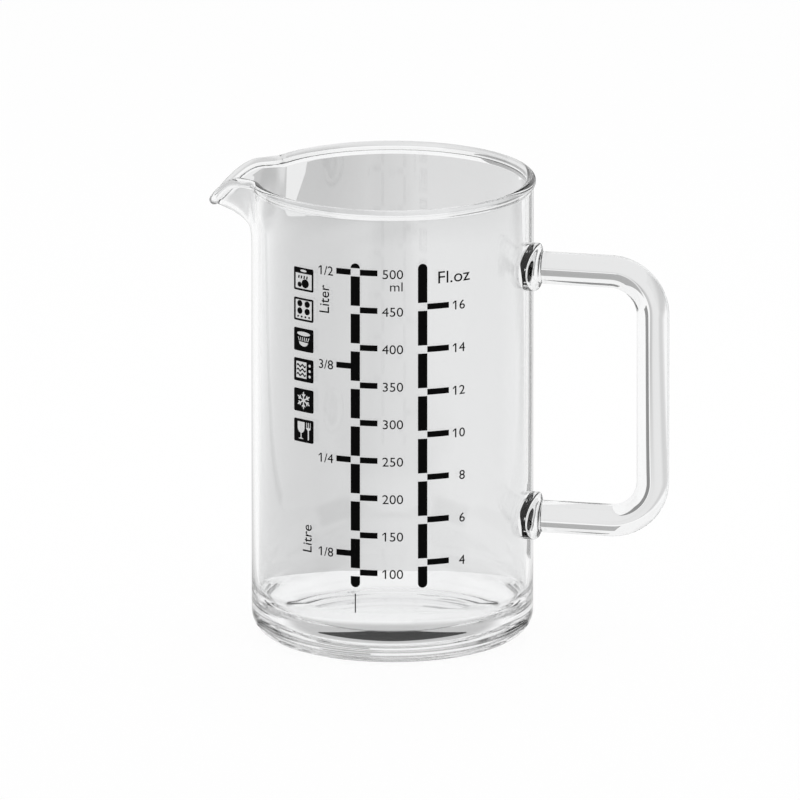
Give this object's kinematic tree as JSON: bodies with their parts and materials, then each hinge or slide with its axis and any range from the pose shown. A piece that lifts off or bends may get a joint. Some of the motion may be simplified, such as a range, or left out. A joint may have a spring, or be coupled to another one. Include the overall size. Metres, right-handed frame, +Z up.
{
  "type": "measuring jug",
  "caption": "Clear glass measuring jug with a straight round body, a drawn pouring spout, a bent glass rod handle and black measuring scales fired onto the wall.",
  "frame": {"origin": "centre of the ring that the jug stands on, on the axis of its round body", "axes": "+Z up along the body's axis, +X towards the handle, -X towards the spout, -Y towards the printed scales"},
  "size_m": [0.1334, 0.0812, 0.1335],
  "materials": {
    "clear_glass": "clear borosilicate glass, fire polished",
    "black_enamel": "black vitreous enamel, fired onto the glass"
  },
  "bodies": {
    "root": {"glass_body": "clear_glass", "handle_rod": "clear_glass", "upper_weld_pad": "clear_glass", "lower_weld_pad": "clear_glass", "metric_scale_bar": "black_enamel", "millilitre_ticks": "black_enamel", "litre_ticks": "black_enamel", "ounce_scale_bar": "black_enamel", "ounce_ticks": "black_enamel", "care_symbol_tiles": "black_enamel", "registration_line": "black_enamel"}
  },
  "joints": []
}
